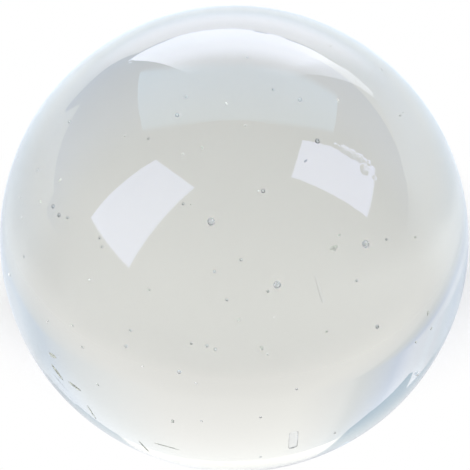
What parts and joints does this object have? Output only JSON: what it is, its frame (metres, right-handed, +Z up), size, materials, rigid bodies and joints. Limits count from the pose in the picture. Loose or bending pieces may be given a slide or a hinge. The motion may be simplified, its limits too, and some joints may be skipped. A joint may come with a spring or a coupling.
{
  "type": "glass marble",
  "caption": "Clear glass ball with small gas seeds, a shear scar and fine skin flaws, for play, rolling tests or as a loose ball.",
  "frame": {"origin": "centre of the ball", "axes": "+Z up; the shear scar lies on the +X, -Y, +Z side and the chill creases on the -X, -Y side a little below the middle"},
  "size_m": [0.016, 0.016, 0.016],
  "materials": {
    "glass": "fire-polished clear glass with a faint grey-green cast, a few gas seeds and light handling marks"
  },
  "bodies": {
    "root": {"marble": "glass"}
  },
  "joints": []
}
